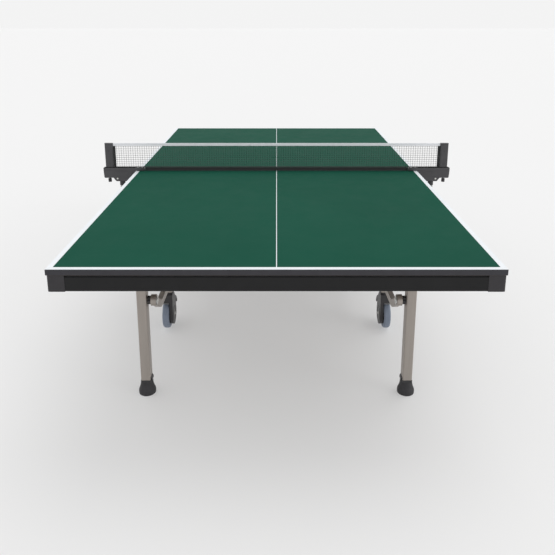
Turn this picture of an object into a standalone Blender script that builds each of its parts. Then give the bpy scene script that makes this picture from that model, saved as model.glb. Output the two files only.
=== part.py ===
"""Table tennis table on a rollaway carriage: two folding halves, self-folding legs and a net.

World frame: +X across the table, +Y along it, +Z up, in metres. The origin is on the floor
below the middle of the table. Everything of the front end (y < 0) is modelled in place, and
the rear end is the same set of meshes turned half a turn about Z.
"""

import math

import bmesh
import bpy
from mathutils import Matrix, Vector

# ---------------------------------------------------------------- driving dimensions (metres)
TABLE_LENGTH = 2.740
TABLE_WIDTH = 1.525
TABLE_HEIGHT = 0.760
PANEL_THICKNESS = 0.022
HALF_GAP = 0.004
CLEARANCE = 0.0003
WALL = 0.002

APRON_HEIGHT = 0.0577
APRON_DEPTH = 0.028
APRON_INSET = 0.003
GROOVE_HEIGHT = 0.008
GROOVE_DEPTH = 0.004
CORNER_SIZE = 0.058
CORNER_PROUD = 0.0008

STRINGER_X = 0.600
STRINGER_WIDTH = 0.030
STRINGER_HEIGHT = 0.040
INNER_RAIL_HEIGHT = 0.025
INNER_RAIL_DEPTH = 0.028

LEG_X = 0.555
LEG_Y = -0.906
LEG_WIDTH = 0.040
LEG_DEPTH = 0.050
LEG_BOTTOM = 0.062
LEG_TOP = 0.722
LEG_CROSS_Z = 0.580
FOOT_RADIUS = 0.036
FOOT_STEM_RADIUS = 0.008

POST_X = 0.550
POST_Y = -0.348
POST_BOTTOM = 0.215
POST_TOP = 0.672
RAIL_Z = 0.290
RAIL_WIDTH = 0.030
RAIL_HEIGHT = 0.040

# Joint axes of the front end, as (y, z). The rear end has them turned about Z.
FOLD_AXIS = (-0.270, 0.728)
LEG_AXIS = (LEG_Y, 0.700)
STAY_OUTER_AXIS = (LEG_Y, 0.430)
STAY_INNER_AXIS = (-0.310, 0.500)
PIN_RADIUS = 0.006
PIN_PLAY = 0.0005
OPEN_PIVOT_RADIUS = 0.015

STAY_WEB_X = 0.496
STAY_RIM_X = 0.518
STAY_WIDTH = 0.030
STAY_WALL = 0.0025
KNOB_X = 0.527
STAY_KNEES = ((-0.815, 0.366), (-0.600, 0.362))

WHEEL_RADIUS = 0.075
WHEEL_WIDTH = 0.034
WHEEL_X = 0.566
WHEEL_Y = -0.316
CASTER_ARM_INNER_X = 0.530
CASTER_ARM_OUTER_X = 0.5465
CROWN_OUTER_X = 0.585
CROWN_TOP = 0.204
GUARD_INNER_RADIUS = 0.079
GUARD_OUTER_RADIUS = 0.092

NET_HEIGHT = 0.1525
NET_THICKNESS = 0.002
NET_POST_INNER_X = 0.881
NET_POST_OUTER_X = 0.925
NET_POST_DEPTH = 0.016
BRACKET_DEPTH = 0.024
BRACKET_BAR_BOTTOM = 0.7645
BRACKET_BAR_TOP = 0.779
SUPPORT_X = 0.840
SUPPORT_RADIUS = 0.0125
NET_SCREW_X = 0.908

PANEL_BOTTOM = TABLE_HEIGHT - PANEL_THICKNESS
FRAME_TOP = PANEL_BOTTOM - CLEARANCE
HALF_LENGTH = TABLE_LENGTH / 2
APRON_BOTTOM = FRAME_TOP - APRON_HEIGHT
APRON_FACE_X = TABLE_WIDTH / 2 - APRON_INSET
APRON_FACE_Y = -HALF_LENGTH + APRON_INSET
NET_TOP = TABLE_HEIGHT + NET_HEIGHT

ENDS = (("front", 0.0), ("rear", math.pi))
SIDES = (("left", -1), ("right", 1))
OTHER_SIDE = {"left": "right", "right": "left"}

# Turns a flat outline's (u, v) plane into the world's YZ or XZ plane.
INTO_YZ = Matrix(((0, 0, 1, 0), (1, 0, 0, 0), (0, 1, 0, 0), (0, 0, 0, 1)))
INTO_XZ = Matrix(((1, 0, 0, 0), (0, 0, -1, 0), (0, 1, 0, 0), (0, 0, 0, 1)))
Z_INTO_X = Matrix.Rotation(math.pi / 2, 4, "Y")

# material name: (colour, roughness, metallic)
MATERIALS = {
    "top_green": ((0.020, 0.130, 0.070), 0.45, 0.0),
    "profile_black": ((0.016, 0.017, 0.018), 0.40, 0.3),
    "corner_black": ((0.026, 0.027, 0.028), 0.45, 0.0),
    "steel_champagne": ((0.400, 0.350, 0.290), 0.38, 0.7),
    "rubber_black": ((0.018, 0.018, 0.019), 0.70, 0.0),
    "plastic_black": ((0.020, 0.020, 0.022), 0.42, 0.0),
    "tyre_grey_blue": ((0.220, 0.270, 0.330), 0.60, 0.0),
    "net_metal_black": ((0.014, 0.014, 0.015), 0.40, 0.5),
    "support_steel": ((0.480, 0.480, 0.470), 0.35, 0.9),
    "net_cord_black": ((0.020, 0.020, 0.020), 0.85, 0.0),
}


# ---------------------------------------------------------------- scene
def clear_scene():
    for obj in list(bpy.data.objects):
        bpy.data.objects.remove(obj, do_unlink=True)


def new_collection(name):
    collection = bpy.data.collections.new(name)
    bpy.context.scene.collection.children.link(collection)
    return collection


def principled(name):
    colour, roughness, metallic = MATERIALS[name]
    material = bpy.data.materials.new(name)
    material.use_nodes = True
    shader = material.node_tree.nodes["Principled BSDF"]
    shader.inputs["Base Color"].default_value = (*colour, 1.0)
    shader.inputs["Roughness"].default_value = roughness
    shader.inputs["Metallic"].default_value = metallic
    material.diffuse_color = (*colour, 1.0)
    return material


# ---------------------------------------------------------------- mesh tools
def evaluated_mesh(obj):
    """A new mesh of the object with its modifiers applied. The object is removed."""
    bpy.context.view_layer.update()
    depsgraph = bpy.context.evaluated_depsgraph_get()
    mesh = bpy.data.meshes.new_from_object(obj.evaluated_get(depsgraph))
    bpy.data.objects.remove(obj, do_unlink=True)
    return mesh


def helper_object(data):
    obj = bpy.data.objects.new("helper", data)
    bpy.context.scene.collection.objects.link(obj)
    return obj


def welded(mesh):
    form = bmesh.new()
    form.from_mesh(mesh)
    bmesh.ops.remove_doubles(form, verts=form.verts, dist=1e-6)
    bmesh.ops.recalc_face_normals(form, faces=form.faces)
    form.to_mesh(mesh)
    form.free()
    return mesh


def combined(mesh, other, operation):
    """The union of two closed meshes, or what is left of the first without the second."""
    base = helper_object(mesh)
    tool = helper_object(other)
    tool.hide_render = True
    modifier = base.modifiers.new("combine", "BOOLEAN")
    modifier.operation = operation
    modifier.solver = "EXACT"
    modifier.object = tool
    result = evaluated_mesh(base)
    bpy.data.objects.remove(tool, do_unlink=True)
    return result


def union(mesh, *others):
    for other in others:
        mesh = combined(mesh, other, "UNION")
    return mesh


def cut(mesh, *cutters):
    for cutter in cutters:
        mesh = combined(mesh, cutter, "DIFFERENCE")
    return mesh


def box(low, high):
    mesh = bpy.data.meshes.new("box")
    size = [b - a for a, b in zip(low, high)]
    middle = [(a + b) / 2 for a, b in zip(low, high)]
    matrix = Matrix.Translation(middle) @ Matrix.Diagonal((*size, 1.0))
    form = bmesh.new()
    bmesh.ops.create_cube(form, size=1.0, matrix=matrix)
    form.to_mesh(mesh)
    form.free()
    return mesh


def cylinder(matrix, radius, length, segments=16, end_radius=None):
    mesh = bpy.data.meshes.new("cylinder")
    form = bmesh.new()
    bmesh.ops.create_cone(
        form,
        cap_ends=True,
        segments=segments,
        radius1=radius,
        radius2=radius if end_radius is None else end_radius,
        depth=length,
        matrix=matrix,
    )
    form.to_mesh(mesh)
    form.free()
    return mesh


def pin_along_x(axis, radius, x_from, x_to, segments=16):
    """A cylinder along X on the line (y, z) = axis."""
    place = Matrix.Translation(((x_from + x_to) / 2, *axis)) @ Z_INTO_X
    return cylinder(place, radius, abs(x_to - x_from), segments)


def plate(loops, thickness, into, offset=(0, 0, 0)):
    """A flat outline, with any holes as further loops, given a thickness about its plane."""
    curve = bpy.data.curves.new("plate", "CURVE")
    curve.dimensions = "2D"
    curve.fill_mode = "BOTH"
    curve.extrude = thickness / 2
    for loop in loops:
        spline = curve.splines.new("POLY")
        spline.points.add(len(loop) - 1)
        for point, (u, v) in zip(spline.points, loop):
            point.co = (u, v, 0, 1)
        spline.use_cyclic_u = True
    mesh = welded(evaluated_mesh(helper_object(curve)))
    mesh.transform(Matrix.Translation(offset) @ into)
    return mesh


def arc(centre, radius, start, stop, steps):
    """Points on an arc, from angle start to stop in degrees, both ends included."""
    points = []
    for i in range(steps + 1):
        angle = math.radians(start + (stop - start) * i / steps)
        points.append((centre[0] + radius * math.cos(angle), centre[1] + radius * math.sin(angle)))
    return points


def rounded_rectangle(width, height, radius, steps=3):
    u, v = width / 2 - radius, height / 2 - radius
    corners = ((u, v, 0), (-u, v, 90), (-u, -v, 180), (u, -v, 270))
    points = []
    for cu, cv, start in corners:
        points += arc((cu, cv), radius, start, start + 90, steps)
    return points


def rectangle(width, height):
    u, v = width / 2, height / 2
    return [(u, v), (-u, v), (-u, -v), (u, -v)]


def tube_section(width, height):
    """A rectangular tube's section: the outer loop with rounded corners, and the bore."""
    return [rounded_rectangle(width, height, 0.003), rectangle(width - 2 * WALL, height - 2 * WALL)]


def tube_along_x(x_from, x_to, y, z, depth, height):
    middle = ((x_from + x_to) / 2, y, z)
    return plate(tube_section(depth, height), x_to - x_from, INTO_YZ, middle)


def tube_along_y(y_from, y_to, x, z, width, height):
    middle = (x, (y_from + y_to) / 2, z)
    return plate(tube_section(width, height), y_to - y_from, INTO_XZ, middle)


def tube_along_z(z_from, z_to, x, y, width, depth):
    middle = (x, y, (z_from + z_to) / 2)
    return plate(tube_section(width, depth), z_to - z_from, Matrix.Identity(4), middle)


def turned(profile, steps, closed=False):
    """A profile of (radius, z) points, outer side from top to bottom, turned about Z."""
    mesh = bpy.data.meshes.new("turned")
    edges = [(i, i + 1) for i in range(len(profile) - 1)]
    if closed:
        edges.append((len(profile) - 1, 0))
    mesh.from_pydata([(radius, 0, z) for radius, z in profile], edges, [])
    obj = helper_object(mesh)
    screw = obj.modifiers.new("turn", "SCREW")
    screw.axis = "Z"
    screw.steps = steps
    screw.render_steps = steps
    screw.use_merge_vertices = True
    screw.merge_threshold = 0.00005
    return welded(evaluated_mesh(obj))


def bevelled(mesh, width, segments=2):
    obj = helper_object(mesh)
    bevel = obj.modifiers.new("edges", "BEVEL")
    bevel.width = width
    bevel.segments = segments
    bevel.limit_method = "ANGLE"
    return evaluated_mesh(obj)


# ---------------------------------------------------------------- table half
def panel_mesh():
    low = (-TABLE_WIDTH / 2, -HALF_LENGTH, PANEL_BOTTOM)
    high = (TABLE_WIDTH / 2, -HALF_GAP / 2, TABLE_HEIGHT)
    return bevelled(box(low, high), 0.0012)


def apron_section():
    """Hollow profile, outer face at u = 0 and inner face at u = APRON_DEPTH, v from the bottom up.
    A groove runs under the panel, above the ledge that carries it."""
    ledge = APRON_HEIGHT - GROOVE_HEIGHT
    outer = arc((0.004, 0.004), 0.004, 180, 270, 3)
    outer += [(APRON_DEPTH, 0), (APRON_DEPTH, APRON_HEIGHT), (GROOVE_DEPTH, APRON_HEIGHT)]
    outer += [(GROOVE_DEPTH, ledge), (0.0015, ledge), (0, ledge - 0.0015)]
    bore_low = (WALL, WALL + 0.002)
    bore_high = (APRON_DEPTH - WALL, ledge - WALL - 0.001)
    bore = [
        bore_low,
        (bore_low[0], bore_high[1]),
        bore_high,
        (bore_high[0], bore_low[1]),
    ]
    return outer, bore


def end_apron_mesh():
    outer, bore = apron_section()
    length = 2 * (APRON_FACE_X - CORNER_SIZE - CLEARANCE)
    loops = [[(APRON_FACE_Y + u, APRON_BOTTOM + v) for u, v in loop] for loop in (outer, bore)]
    return plate(loops, length, INTO_YZ)


def side_apron_mesh(side):
    outer, bore = apron_section()
    y_from = APRON_FACE_Y + CORNER_SIZE + CLEARANCE
    y_to = -HALF_GAP / 2 - APRON_INSET
    loops = [[(side * (APRON_FACE_X - u), APRON_BOTTOM + v) for u, v in loop] for loop in (outer, bore)]
    return plate(loops, y_to - y_from, INTO_XZ, (0, (y_from + y_to) / 2, 0))


def corner_block_mesh(side):
    """Moulded block that closes the corner of the frame, rounded on its outer upright edge."""
    face_x = APRON_FACE_X + CORNER_PROUD
    face_y = APRON_FACE_Y - CORNER_PROUD
    inner_x = APRON_FACE_X - CORNER_SIZE
    inner_y = APRON_FACE_Y + CORNER_SIZE
    radius = 0.008
    outline = [(inner_x, face_y)]
    outline += arc((face_x - radius, face_y + radius), radius, 270, 360, 5)
    outline += [(face_x, inner_y), (inner_x, inner_y)]
    outline = [(side * x, y) for x, y in outline]
    middle = (0, 0, FRAME_TOP - APRON_HEIGHT / 2)
    return bevelled(plate([outline], APRON_HEIGHT, Matrix.Identity(4), middle), 0.0012, 1)


def inner_rail_mesh():
    reach = APRON_FACE_X - APRON_DEPTH - CLEARANCE
    y = -HALF_GAP / 2 - APRON_INSET - CLEARANCE - INNER_RAIL_DEPTH / 2
    z = FRAME_TOP - INNER_RAIL_HEIGHT / 2
    return tube_along_x(-reach, reach, y, z, INNER_RAIL_DEPTH, INNER_RAIL_HEIGHT)


def stringer_mesh(side):
    """Lengthways tube under the panel. Its inner wall takes the fold pin, and its ear the leg's."""
    y_from = APRON_FACE_Y + APRON_DEPTH + CLEARANCE
    y_to = -HALF_GAP / 2 - APRON_INSET - 2 * CLEARANCE - INNER_RAIL_DEPTH
    z = FRAME_TOP - STRINGER_HEIGHT / 2
    x = side * STRINGER_X
    tube = tube_along_y(y_from, y_to, x, z, STRINGER_WIDTH, STRINGER_HEIGHT)
    inner_face = side * (STRINGER_X - STRINGER_WIDTH / 2)
    ear_y, ear_z = LEG_AXIS
    ear_outline = arc((ear_y, ear_z), 0.022, 180, 360, 8)
    ear_outline += [(ear_y + 0.030, FRAME_TOP - 0.002), (ear_y - 0.030, FRAME_TOP - 0.002)]
    ear_thickness = 0.0085
    ear_middle = (inner_face - side * (ear_thickness / 2 - 0.001), 0, 0)
    ear = plate([ear_outline], ear_thickness, INTO_YZ, ear_middle)
    hole_radius = PIN_RADIUS + PIN_PLAY
    holes = [
        pin_along_x(FOLD_AXIS, hole_radius, inner_face - side * 0.02, inner_face + side * 0.01),
        pin_along_x(LEG_AXIS, hole_radius + 0.002, inner_face - side * 0.02, inner_face + side * 0.01),
    ]
    return cut(union(tube, ear), *holes)


# ---------------------------------------------------------------- legs
def leg_mesh(side):
    """Tube with a threaded plug at its foot, its pivot pin and a hole for the lock knob's stud."""
    x = side * LEG_X
    tube = tube_along_z(LEG_BOTTOM, LEG_TOP, x, LEG_Y, LEG_WIDTH, LEG_DEPTH)
    plug_outline = rectangle(LEG_WIDTH - WALL, LEG_DEPTH - WALL)
    plug_bore = arc((0, 0), FOOT_STEM_RADIUS + PIN_PLAY, 0, 342, 19)
    plug_middle = (x, LEG_Y, LEG_BOTTOM + 0.013)
    plug = plate([plug_outline, plug_bore], 0.020, Matrix.Identity(4), plug_middle)
    outer_face = side * (LEG_X + LEG_WIDTH / 2)
    inner_face = side * (LEG_X - LEG_WIDTH / 2)
    pivot = pin_along_x(LEG_AXIS, PIN_RADIUS + 0.002, outer_face - side * 0.001, outer_face + side * 0.0095)
    stud_hole = pin_along_x(STAY_OUTER_AXIS, PIN_RADIUS + 0.0008, inner_face - side * 0.01, inner_face + side * 0.01)
    return cut(union(tube, plug, pivot), stud_hole)


def leg_cross_tube_mesh():
    reach = LEG_X - LEG_WIDTH / 2 - CLEARANCE
    return tube_along_x(-reach, reach, LEG_Y, LEG_CROSS_Z, 0.025, 0.040)


def foot_mesh():
    """Bell-shaped levelling foot with its screw, from the screw's top down."""
    top = LEG_BOTTOM - CLEARANCE
    profile = [(0, 0.100), (FOOT_STEM_RADIUS, 0.100), (FOOT_STEM_RADIUS, top), (0.0240, top)]
    profile += [(0.0250, top - 0.0015), (0.0265, 0.046), (0.0310, 0.031), (FOOT_RADIUS, 0.018)]
    profile += [(FOOT_RADIUS, 0.005), (FOOT_RADIUS - 0.003, 0.0), (0, 0.0)]
    mesh = turned(profile, 20)
    mesh.transform(Matrix.Translation((0, LEG_Y, 0)))
    return mesh


def lock_knob_mesh(side):
    """Six-lobed knob between leg and stay, on a stud that holds the stay with a wide washer."""
    lobes = 6
    points = []
    for i in range(lobes * 3):
        angle = 2 * math.pi * i / (lobes * 3)
        radius = 0.0162 + 0.0014 * math.cos(lobes * angle)
        y, z = STAY_OUTER_AXIS
        points.append((y + radius * math.cos(angle), z + radius * math.sin(angle)))
    head = plate([points], 0.013, INTO_YZ, (side * KNOB_X, 0, 0))
    leg_end = LEG_X - LEG_WIDTH / 2 + 0.009
    stud = pin_along_x(STAY_OUTER_AXIS, PIN_RADIUS, side * leg_end, side * (STAY_WEB_X - 0.004))
    washer_from = side * (STAY_WEB_X - 0.0015)
    washer = pin_along_x(STAY_OUTER_AXIS, 0.0190, washer_from, side * (STAY_WEB_X - 0.0055), 20)
    return union(bevelled(head, 0.0018, 1), stud, washer)


def mitred_strip(points, width):
    """Outline of a strip of even width that follows a line of (u, v) points."""
    left, right = [], []
    for i, point in enumerate(points):
        here = Vector(point)
        before = (here - Vector(points[i - 1])).normalized() if i else None
        after = (Vector(points[i + 1]) - here).normalized() if i + 1 < len(points) else None
        along = ((before or after) + (after or before)).normalized()
        normal = Vector((-along.y, along.x))
        reach = width / 2 / max(0.2, abs(normal.dot(Vector((-(after or before).y, (after or before).x)))))
        left.append(tuple(here + normal * reach))
        right.append(tuple(here - normal * reach))
    return left + right[::-1]


def bend_points(start, corner, stop, reach, steps=3):
    """Points of a round bend at a corner between two straight runs, as a quadratic curve."""
    corner = Vector(corner)
    first = corner + (Vector(start) - corner).normalized() * reach
    last = corner + (Vector(stop) - corner).normalized() * reach
    points = []
    for i in range(steps + 1):
        t = i / steps
        points.append(tuple(first * (1 - t) ** 2 + corner * 2 * t * (1 - t) + last * t**2))
    return points


def stay_line():
    """The stay's middle line, from the leg's pivot to the carriage's."""
    knee, heel = STAY_KNEES
    line = [STAY_OUTER_AXIS]
    line += bend_points(STAY_OUTER_AXIS, knee, heel, 0.030)
    line += bend_points(knee, heel, STAY_INNER_AXIS, 0.040)
    line.append(STAY_INNER_AXIS)
    return line


def stay_solid(inset, x_from, x_to):
    """The stay's outline with an eye at each end, drawn in by inset, between two planes."""
    middle = ((x_from + x_to) / 2, 0, 0)
    bar = plate([mitred_strip(stay_line(), STAY_WIDTH - 2 * inset)], abs(x_to - x_from), INTO_YZ, middle)
    step = 0.0002 if x_to > x_from else -0.0002
    return union(
        bar,
        pin_along_x(STAY_OUTER_AXIS, 0.0235 - inset, x_from - step, x_to + step, 20),
        pin_along_x(STAY_INNER_AXIS, 0.0170 - inset, x_from - step, x_to + step),
    )


def stay_mesh(side):
    """Cranked pressed channel between carriage and leg, its web inwards, with an eye at each end."""
    web, rim = side * STAY_WEB_X, side * STAY_RIM_X
    channel = stay_solid(STAY_WALL, web + side * STAY_WALL, rim + side * 0.005)
    holes = [
        pin_along_x(STAY_OUTER_AXIS, OPEN_PIVOT_RADIUS, web - side * 0.01, web + side * 0.01, 20),
        pin_along_x(STAY_INNER_AXIS, PIN_RADIUS + PIN_PLAY, web - side * 0.01, web + side * 0.01),
    ]
    return cut(stay_solid(0.0, web, rim), channel, *holes)


# ---------------------------------------------------------------- carriage
def post_mesh(side):
    """Upright tube over a caster, with the welded lugs and pins of the half and of the stay."""
    tube = tube_along_z(POST_BOTTOM, POST_TOP, side * POST_X, POST_Y, 0.040, 0.050)
    y, z = FOLD_AXIS
    back = POST_Y - 0.020
    lug_outline = [(back, POST_TOP - 0.075), (POST_Y + 0.023, POST_TOP - 0.075)]
    lug_outline += arc((y, z), 0.0095, -40, 120, 8)
    lug_outline += [(back, POST_TOP - 0.004)]
    fold_lug = plate([lug_outline], 0.010, INTO_YZ, (side * 0.563, 0, 0))
    fold_pin = pin_along_x(FOLD_AXIS, PIN_RADIUS, side * 0.564, side * 0.6105)
    sy, sz = STAY_INNER_AXIS
    stay_outline = [(POST_Y - 0.020, sz - 0.035), (POST_Y + 0.023, sz - 0.035)]
    stay_outline += arc((sy, sz), 0.014, -60, 60, 6)
    stay_outline += [(POST_Y + 0.023, sz + 0.035), (POST_Y - 0.020, sz + 0.035)]
    stay_lug = plate([stay_outline], 0.009, INTO_YZ, (side * 0.5265, 0, 0))
    stay_pin = pin_along_x(STAY_INNER_AXIS, PIN_RADIUS, side * 0.523, side * (STAY_WEB_X - 0.004))
    pin_head = pin_along_x(STAY_INNER_AXIS, 0.0105, side * (STAY_WEB_X - 0.001), side * (STAY_WEB_X - 0.005))
    return union(tube, fold_lug, fold_pin, stay_lug, stay_pin, pin_head)


def side_rail_mesh(side):
    reach = abs(POST_Y) - 0.025 - CLEARANCE
    return tube_along_y(-reach, reach, side * POST_X, RAIL_Z, RAIL_WIDTH, RAIL_HEIGHT)


def cross_tube_mesh():
    reach = POST_X - RAIL_WIDTH / 2 - CLEARANCE
    return tube_along_x(-reach, reach, 0, RAIL_Z, 0.040, RAIL_HEIGHT)


def caster_housing_mesh(side):
    """Swivel neck, crown with a guard behind the wheel, side arm and axle, moulded in one."""
    axle = (WHEEL_Y, WHEEL_RADIUS)
    arm_middle = side * (CASTER_ARM_INNER_X + CASTER_ARM_OUTER_X) / 2
    arm_width = CASTER_ARM_OUTER_X - CASTER_ARM_INNER_X
    outline = arc(axle, 0.055, 190, 370, 9)
    outline += [(WHEEL_Y + 0.046, 0.140), (WHEEL_Y + 0.020, 0.168), (POST_Y - 0.020, 0.168)]
    arm = plate([outline], arm_width, INTO_YZ, (arm_middle, 0, 0))
    crown_from = CASTER_ARM_INNER_X - 0.001
    front, top = POST_Y - 0.024, CROWN_TOP
    crown_loop = [(front, 0.1545), (front, top - 0.010), (front + 0.008, top), (POST_Y + 0.020, top)]
    crown_loop += [(WHEEL_Y + 0.010, 0.186)]
    crown_loop += arc(axle, GUARD_OUTER_RADIUS, 72, 22, 5) + arc(axle, GUARD_INNER_RADIUS, 22, 93, 7)
    crown_middle = side * (crown_from + CROWN_OUTER_X) / 2
    crown = plate([crown_loop], CROWN_OUTER_X - crown_from, INTO_YZ, (crown_middle, 0, 0))
    neck_bottom = CROWN_TOP - 0.010
    neck_top = POST_BOTTOM - CLEARANCE
    neck_place = Matrix.Translation((side * POST_X, POST_Y, (neck_bottom + neck_top) / 2))
    neck = cylinder(neck_place, 0.0185, neck_top - neck_bottom, 20, 0.0165)
    stem_place = Matrix.Translation((side * POST_X, POST_Y, neck_top + 0.010))
    stem = cylinder(stem_place, 0.007, 0.040, 16)
    axle_pin = pin_along_x(axle, PIN_RADIUS, side * (CASTER_ARM_OUTER_X - 0.004), side * 0.5855)
    axle_head = pin_along_x(axle, 0.0115, side * 0.5838, side * 0.5885)
    return union(arm, crown, neck, stem, axle_pin, axle_head)


def caster_wheel_mesh(side):
    """Wheel with a rounded tyre and dished sides, turned about its axle."""
    half = WHEEL_WIDTH / 2
    bore = PIN_RADIUS + PIN_PLAY
    upper = [(bore, half - 0.004), (0.050, half - 0.006), (0.054, half), (0.070, half)]
    upper.append((WHEEL_RADIUS, half - 0.009))
    profile = upper + [(radius, -z) for radius, z in reversed(upper)]
    mesh = turned(profile, 24, closed=True)
    mesh.transform(Matrix.Translation((side * WHEEL_X, WHEEL_Y, WHEEL_RADIUS)) @ Z_INTO_X)
    return mesh


# ---------------------------------------------------------------- net
def net_support_mesh(side):
    """Bent round tube from the carriage's side rail up to the net bracket, beside the table."""
    base = RAIL_Z + RAIL_HEIGHT / 2 + CLEARANCE
    route = [(POST_X, base)]
    route += bend_points((POST_X, base), (POST_X, 0.480), (SUPPORT_X, 0.560), 0.060, 3)
    route += bend_points((POST_X, 0.480), (SUPPORT_X, 0.560), (SUPPORT_X, 0.70), 0.060, 3)
    route.append((SUPPORT_X, 0.7025))
    curve = bpy.data.curves.new("tube", "CURVE")
    curve.dimensions = "3D"
    curve.bevel_depth = SUPPORT_RADIUS
    curve.bevel_resolution = 2
    spline = curve.splines.new("POLY")
    spline.points.add(len(route) - 1)
    for point, (x, z) in zip(spline.points, route):
        point.co = (side * x, 0, z, 1)
    obj = helper_object(evaluated_mesh(helper_object(curve)))
    wall = obj.modifiers.new("wall", "SOLIDIFY")
    wall.thickness = WALL
    wall.offset = -1
    return welded(evaluated_mesh(obj))


def net_bracket_mesh(side):
    """Bracket beside the table's edge, with a bar that reaches in over the playing surface."""
    outline = [(0.714, BRACKET_BAR_BOTTOM), (0.7655, BRACKET_BAR_BOTTOM), (0.7655, 0.724), (0.793, 0.7032)]
    outline += [(0.872, 0.7032), (0.886, 0.722), (0.930, 0.722), (0.938, 0.760)]
    outline += [(0.938, BRACKET_BAR_TOP), (0.714, BRACKET_BAR_TOP)]
    outline = [(side * x, z) for x, z in outline]
    return bevelled(plate([outline], BRACKET_DEPTH, INTO_XZ), 0.0015, 1)


def net_post_mesh(side):
    inner, outer = sorted((side * NET_POST_INNER_X, side * NET_POST_OUTER_X))
    low = (inner, -NET_POST_DEPTH / 2, BRACKET_BAR_TOP + CLEARANCE)
    high = (outer, NET_POST_DEPTH / 2, NET_TOP)
    return bevelled(box(low, high), 0.003, 2)


def net_mesh():
    """Stretched net between the posts, notched over the brackets."""
    reach = NET_POST_INNER_X - CLEARANCE
    notch = 0.712
    low = TABLE_HEIGHT + 0.0005
    high = BRACKET_BAR_TOP + 0.0005
    outline = [(-notch, low), (notch, low), (notch, high), (reach, high)]
    outline += [(reach, NET_TOP), (-reach, NET_TOP), (-reach, high), (-notch, high)]
    return plate([outline], NET_THICKNESS, INTO_XZ)


def net_screw_mesh():
    """Knurled thumb screw under the bracket, from its top down."""
    top = 0.7215
    profile = [(0, top), (0.0045, top), (0.0050, top - 0.004), (0.0085, top - 0.005)]
    profile += [(0.0090, top - 0.007), (0.0090, top - 0.020), (0.0070, top - 0.023), (0, top - 0.023)]
    return turned(profile, 16)


# ---------------------------------------------------------------- assembly
def finish_mesh(mesh, name):
    mesh.name = name
    mesh.shade_smooth()
    mesh.set_sharp_from_angle(angle=math.radians(32))
    return mesh


def new_empty(name, location, parent, turn=0.0):
    empty = bpy.data.objects.new(name, None)
    empty.empty_display_size = 0.05
    empty.location = location
    empty.rotation_euler = (0, 0, turn)
    empty.parent = parent
    bpy.context.scene.collection.objects.link(empty)
    return empty


class Assembly:
    """Places meshes as named objects, each with its origin where it turns or slides."""

    def __init__(self, name):
        self.collection = new_collection(name)
        self.materials = {key: principled(key) for key in MATERIALS}
        self.ends = {end: new_empty(f"{end}_end", (0, 0, 0), None, turn) for end, turn in ENDS}
        self.pivots = {}

    def pivot(self, label, point, parent_label=None):
        """An empty at each end on a joint's axis, for the pieces that move with it."""
        for end, _ in ENDS:
            parent, base = self.pivots[(parent_label, end)] if parent_label else (self.ends[end], Vector())
            empty = new_empty(f"{end}_{label}", Vector(point) - base, parent)
            self.pivots[(label, end)] = (empty, Vector(point))

    def add(self, name, mesh, material, origin, parent=None, base=(0, 0, 0)):
        if not mesh.materials:
            mesh.materials.append(self.materials[material])
        obj = bpy.data.objects.new(name, mesh)
        obj.location = Vector(origin) - Vector(base)
        obj.parent = parent
        self.collection.objects.link(obj)
        return obj

    def add_at_both_ends(self, label, mesh, material, origin, pivot=None, side=None):
        """The front end's mesh, and the same mesh half a turn round at the rear."""
        mesh.transform(Matrix.Translation(-Vector(origin)))
        mesh.materials.clear()
        finish_mesh(mesh, label)
        for end, _ in ENDS:
            parent, base = self.pivots[(pivot, end)] if pivot else (self.ends[end], Vector())
            name = f"{label}_{end}"
            if side:
                name += f"_{side if end == 'front' else OTHER_SIDE[side]}"
            self.add(name, mesh, material, origin, parent, base)

    def add_once(self, name, mesh, material, origin=(0, 0, 0)):
        mesh.transform(Matrix.Translation(-Vector(origin)))
        mesh.materials.clear()
        self.add(name, finish_mesh(mesh, name), material, origin)


def add_half(table):
    fold = (0, *FOLD_AXIS)
    table.pivot("half_pivot", fold)
    table.add_at_both_ends("panel", panel_mesh(), "top_green", fold, "half_pivot")
    table.add_at_both_ends("end_apron", end_apron_mesh(), "profile_black", fold, "half_pivot")
    table.add_at_both_ends("inner_rail", inner_rail_mesh(), "profile_black", fold, "half_pivot")
    for side, sign in SIDES:
        for label, mesh, material in (
            ("side_apron", side_apron_mesh(sign), "profile_black"),
            ("corner_block", corner_block_mesh(sign), "corner_black"),
            ("stringer", stringer_mesh(sign), "profile_black"),
        ):
            table.add_at_both_ends(label, mesh, material, fold, "half_pivot", side)


def add_legs(table):
    leg_pivot = (0, *LEG_AXIS)
    table.pivot("leg_pivot", leg_pivot, "half_pivot")
    table.add_at_both_ends("leg_cross_tube", leg_cross_tube_mesh(), "steel_champagne", leg_pivot, "leg_pivot")
    for side, sign in SIDES:
        table.add_at_both_ends("leg", leg_mesh(sign), "steel_champagne", leg_pivot, "leg_pivot", side)
        foot = foot_mesh()
        foot.transform(Matrix.Translation((sign * LEG_X, 0, 0)))
        table.add_at_both_ends("foot", foot, "rubber_black", (sign * LEG_X, LEG_Y, 0), "leg_pivot", side)
        knob_origin = (sign * KNOB_X, *STAY_OUTER_AXIS)
        table.add_at_both_ends("lock_knob", lock_knob_mesh(sign), "plastic_black", knob_origin, "leg_pivot", side)


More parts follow.
